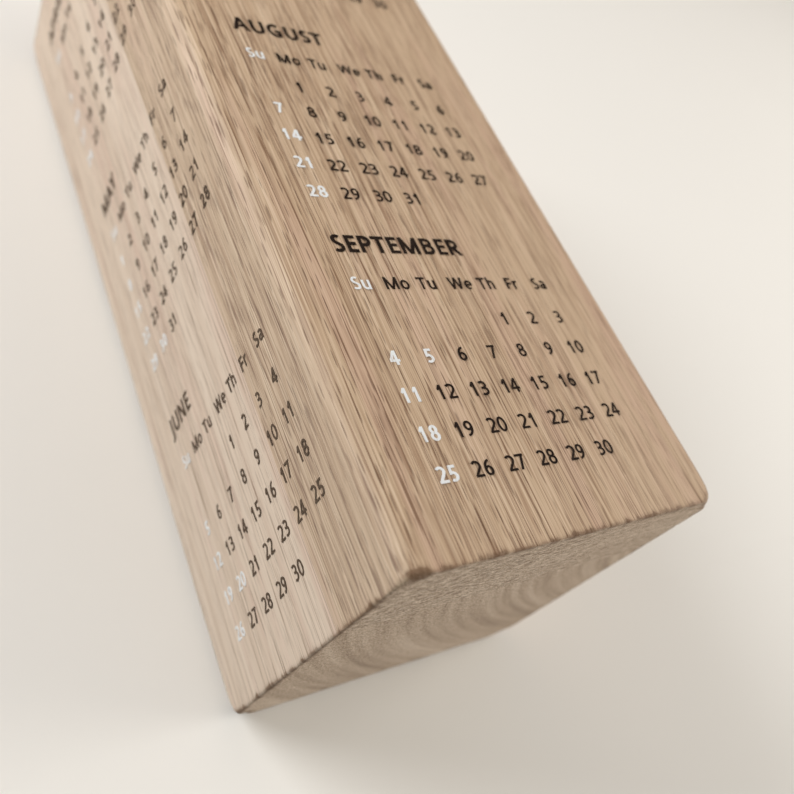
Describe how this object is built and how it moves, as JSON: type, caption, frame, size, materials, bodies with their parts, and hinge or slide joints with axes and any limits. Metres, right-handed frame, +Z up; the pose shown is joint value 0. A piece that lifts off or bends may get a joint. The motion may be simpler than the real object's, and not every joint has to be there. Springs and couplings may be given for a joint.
{
  "type": "flip desk calendar",
  "caption": "Square block calendar glued up from two hardwood boards, a year printed in black and white on its long faces and turned by hand each quarter.",
  "frame": {"origin": "centre of the block's bottom end face, the end below the third month of each quarter", "axes": "+Z up the block along the grain, towards the top of the print; -Y is the January to March face, +X April to June, +Y July to September, -X October to December"},
  "size_m": [0.0602, 0.0602, 0.16],
  "materials": {
    "pale_wood": "matte, sanded, smooth pale straight grain with few pores, unvarnished",
    "brown_wood": "matte, sanded, open-pored brown straight grain, unvarnished",
    "black_ink": "matte printed ink",
    "white_ink": "matte printed ink"
  },
  "bodies": {
    "root": {"thick_board": "pale_wood", "thin_board": "brown_wood", "january_black_print": "black_ink", "january_white_print": "white_ink", "february_black_print": "black_ink", "february_white_print": "white_ink", "march_black_print": "black_ink", "march_white_print": "white_ink", "april_black_print": "black_ink", "april_white_print": "white_ink", "may_black_print": "black_ink", "may_white_print": "white_ink", "june_black_print": "black_ink", "june_white_print": "white_ink", "july_black_print": "black_ink", "july_white_print": "white_ink", "august_black_print": "black_ink", "august_white_print": "white_ink", "september_black_print": "black_ink", "september_white_print": "white_ink", "october_black_print": "black_ink", "october_white_print": "white_ink", "november_black_print": "black_ink", "november_white_print": "white_ink", "december_black_print": "black_ink", "december_white_print": "white_ink"}
  },
  "joints": []
}
